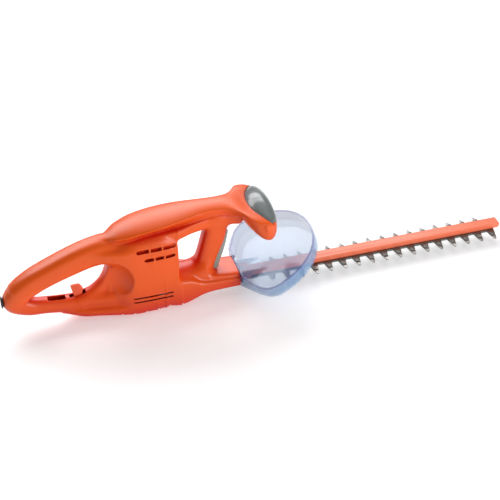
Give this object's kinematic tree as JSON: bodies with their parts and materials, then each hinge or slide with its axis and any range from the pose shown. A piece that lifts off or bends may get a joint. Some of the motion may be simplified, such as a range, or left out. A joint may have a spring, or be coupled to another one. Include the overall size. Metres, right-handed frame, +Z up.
{
  "type": "hedge trimmer",
  "caption": "Electric hedge trimmer with rear D-handle, T-shaped front handle, clear hand guard and a reciprocating toothed blade under a straight bar.",
  "frame": {"origin": "middle of the whole tool's length and width, at the height of the belly's lowest face", "axes": "+X forward to the blade's tip, +Y to the operator's left, +Z up; the blades lie in a level plane"},
  "size_m": [0.9132, 0.196, 0.183],
  "materials": {
    "housing": "semi-gloss moulded plastic",
    "screws": "blackened steel",
    "guard": "clear tinted plastic",
    "clamp": "semi-gloss",
    "bar": "satin powder coat",
    "comb": "ground steel",
    "cutter": "ground steel",
    "bright_steel": "machined",
    "castings": "as cast",
    "laminations": "stacked sheet",
    "copper": "lacquered copper",
    "black_plastic": "matt",
    "brass": "bright",
    "carbon": "carbon",
    "trigger": "semi-gloss",
    "palm_pad": "high gloss",
    "lever": "satin",
    "bushing": "matt",
    "capacitor": "moulded",
    "lead_wire": "insulation"
  },
  "bodies": {
    "machine": {"housing_right": "housing", "housing_left": "housing", "housing_screws": "screws", "hand_guard": "guard", "guard_screws": "screws", "bar_clamp": "clamp", "blade_bar": "bar", "comb_blade": "comb", "blade_spacers": "bright_steel", "blade_bolts": "screws", "blade_keeper": "bright_steel", "gearcase": "castings", "gearcase_screws": "screws", "gear_spindle": "bright_steel", "lower_bearing": "bright_steel", "upper_bearing": "bright_steel", "field_stack": "laminations", "field_coils": "copper", "bearing_bracket": "castings", "motor_screws": "screws", "brush_holders": "brass", "carbon_brushes": "carbon", "trigger_pin": "bright_steel", "trigger_spring": "bright_steel", "rear_microswitch": "black_plastic", "palm_springs": "bright_steel", "lever_pin": "bright_steel", "lever_spring": "bright_steel", "front_microswitch": "black_plastic", "cord_bushing": "bushing", "cord_clamp": "black_plastic", "terminal_block": "black_plastic", "suppressor_capacitor": "capacitor", "motor_leads": "lead_wire"},
    "rotor": {"motor_shaft": "bright_steel", "rotor_core": "laminations", "rotor_windings": "copper", "commutator": "copper", "fan": "black_plastic", "pinion": "bright_steel"},
    "gear": {"gear_wheel": "bright_steel", "eccentric": "bright_steel"},
    "cutter": {"cutter_blade": "cutter"},
    "trigger": {"rear_trigger": "trigger"},
    "palm": {"palm_switch": "palm_pad"},
    "lever": {"finger_lever": "lever"}
  },
  "joints": [
    {"name": "motor_spin", "type": "hinge", "parent": "machine", "child": "rotor", "pos_m": [-0.20615, 0, 0.1], "axis": [0, 0, 1], "continuous": true},
    {"name": "gear_spin", "type": "hinge", "parent": "machine", "child": "gear", "pos_m": [-0.1724, 0, 0.032], "axis": [0, 0, 1], "continuous": true},
    {"name": "cutter_slide", "type": "slide", "parent": "machine", "child": "cutter", "axis": [1, 0, 0], "range_m": [0, 0.01325]},
    {"name": "trigger_pull", "type": "hinge", "parent": "machine", "child": "trigger", "pos_m": [-0.33015, 0, 0.037], "axis": [0, 1, 0], "range_deg": [-7, 0], "stiffness_Nm_per_rad": 0.4, "springref_deg": 8.59},
    {"name": "palm_press", "type": "slide", "parent": "machine", "child": "palm", "axis": [0, 0, -1], "range_m": [0, 0.0025], "stiffness_N_per_m": 900, "springref_m": -0.002, "deforming": ["palm_springs"]},
    {"name": "lever_squeeze", "type": "hinge", "parent": "machine", "child": "lever", "pos_m": [-0.06915, 0, 0.134], "axis": [0, 1, 0], "range_deg": [0, 4], "stiffness_Nm_per_rad": 1.2, "springref_deg": -5.73}
  ],
  "couplings": [
    {"joint": "motor_spin", "follows": "gear_spin", "ratio": -5}
  ]
}
